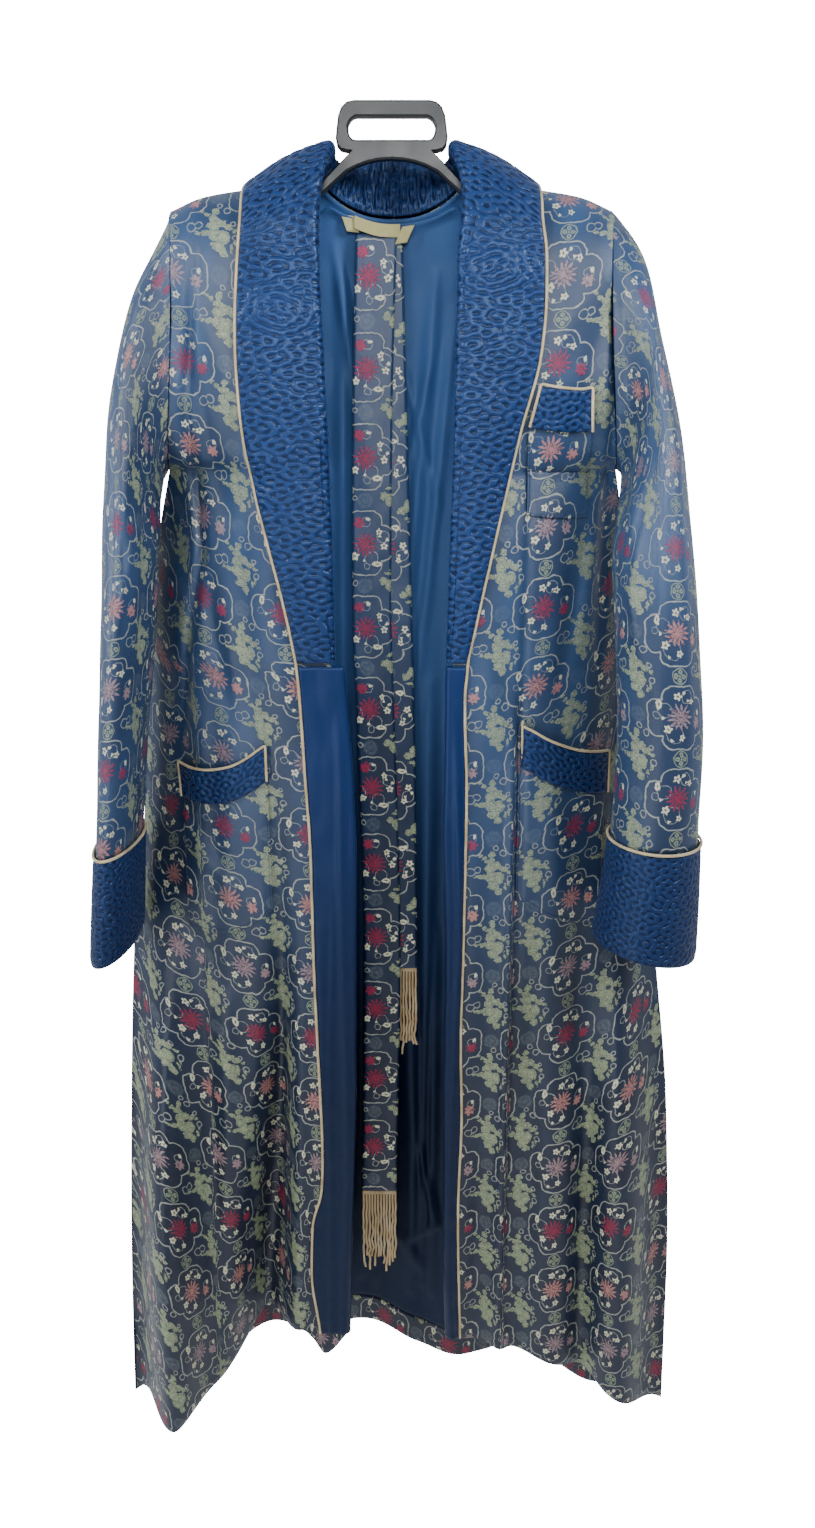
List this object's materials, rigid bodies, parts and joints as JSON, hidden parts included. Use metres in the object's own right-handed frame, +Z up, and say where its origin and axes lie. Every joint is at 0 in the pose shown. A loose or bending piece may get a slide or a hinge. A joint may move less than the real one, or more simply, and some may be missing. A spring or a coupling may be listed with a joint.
{
  "type": "dressing gown on a hanger",
  "caption": "Long brocade dressing gown, open at the front, with a quilted shawl collar, quilted cuffs, patch pockets and a fringed belt, on a plastic hanger.",
  "frame": {"origin": "inside the top of the hanger's loop, where a hook or peg holds it, on the robe's middle plane", "axes": "+Z up, -Y towards the viewer who looks at the robe's open front, +X to that viewer's right"},
  "size_m": [0.5733, 0.2299, 1.2919],
  "materials": {
    "brocade": "woven silk, lustrous",
    "satin": "silk satin",
    "quilted_satin": "stitched silk satin",
    "piping": "satin cord",
    "fringe": "twisted rayon",
    "label": "woven ribbon",
    "hanger": "satin plastic"
  },
  "bodies": {
    "root": {"hanger": "hanger", "back": "brocade", "lining_back": "satin", "back_hem": "brocade", "front_left": "brocade", "front_right": "brocade", "sleeve_left": "brocade", "sleeve_right": "brocade", "cuff_left": "quilted_satin", "cuff_right": "quilted_satin", "cuff_piping_left": "piping", "cuff_piping_right": "piping", "collar_left": "quilted_satin", "collar_right": "quilted_satin", "facing_left": "satin", "facing_right": "satin", "edge_piping_left": "piping", "edge_piping_right": "piping", "pocket_patch_chest": "brocade", "pocket_patch_hip_left": "brocade", "pocket_patch_hip_right": "brocade", "pocket_band_chest": "quilted_satin", "pocket_band_hip_left": "quilted_satin", "pocket_band_hip_right": "quilted_satin", "pocket_piping_chest": "piping", "pocket_piping_hip_left": "piping", "pocket_piping_hip_right": "piping", "belt": "brocade", "fringe_long": "fringe", "fringe_short": "fringe", "label": "label"}
  },
  "joints": []
}
